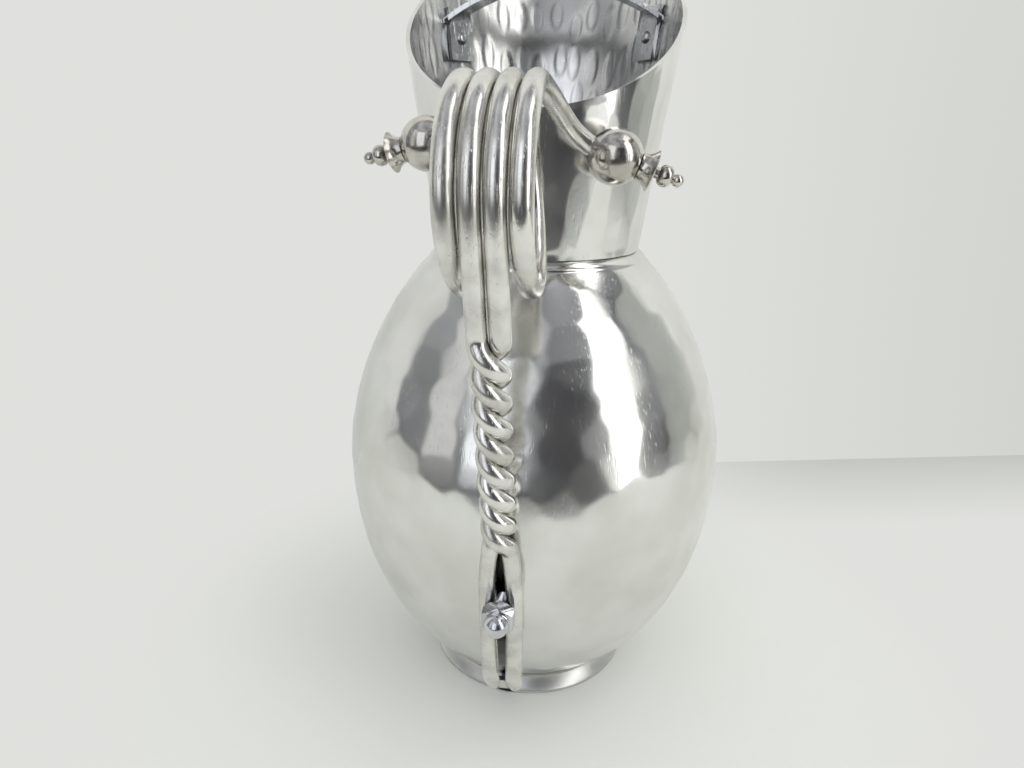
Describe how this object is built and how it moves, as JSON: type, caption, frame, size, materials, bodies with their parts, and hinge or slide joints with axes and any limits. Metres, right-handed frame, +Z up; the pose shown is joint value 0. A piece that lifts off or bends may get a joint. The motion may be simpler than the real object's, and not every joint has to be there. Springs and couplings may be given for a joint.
{
  "type": "water pitcher",
  "caption": "Tall ovoid aluminium water pitcher with a flared slant-cut neck, ice guard strap and a looped, twisted rod handle with ball finials.",
  "frame": {"origin": "on the body's axis at table level, the lowest point of the foot ring", "axes": "+Z up along the body's axis, -Y towards the handle, +Y towards the spout, +X to the right seen from the handle"},
  "size_m": [0.16, 0.1986, 0.3022],
  "materials": {
    "hammered_aluminium": "hand-hammered and polished",
    "sheet_aluminium": "plain sheet, dulled",
    "rod_aluminium": "drawn rod, polished by use",
    "turned_aluminium": "turned and polished",
    "plated_steel": "bright plated",
    "seal_rubber": "matt black"
  },
  "bodies": {
    "root": {"body_shell": "hammered_aluminium", "foot_ring": "hammered_aluminium", "neck": "hammered_aluminium", "ice_guard": "sheet_aluminium", "ice_guard_rivets": "sheet_aluminium", "handle_rod_left": "rod_aluminium", "handle_rod_right": "rod_aluminium", "handle_end_weld": "rod_aluminium", "finial_ball_left": "turned_aluminium", "finial_ball_right": "turned_aluminium", "finial_cup_left": "turned_aluminium", "finial_cup_right": "turned_aluminium", "finial_tip_left": "turned_aluminium", "finial_tip_right": "turned_aluminium", "finial_screws": "plated_steel", "finial_washers": "plated_steel", "handle_bolt": "plated_steel", "bolt_sealing_washer": "seal_rubber", "cap_nut": "plated_steel"}
  },
  "joints": []
}
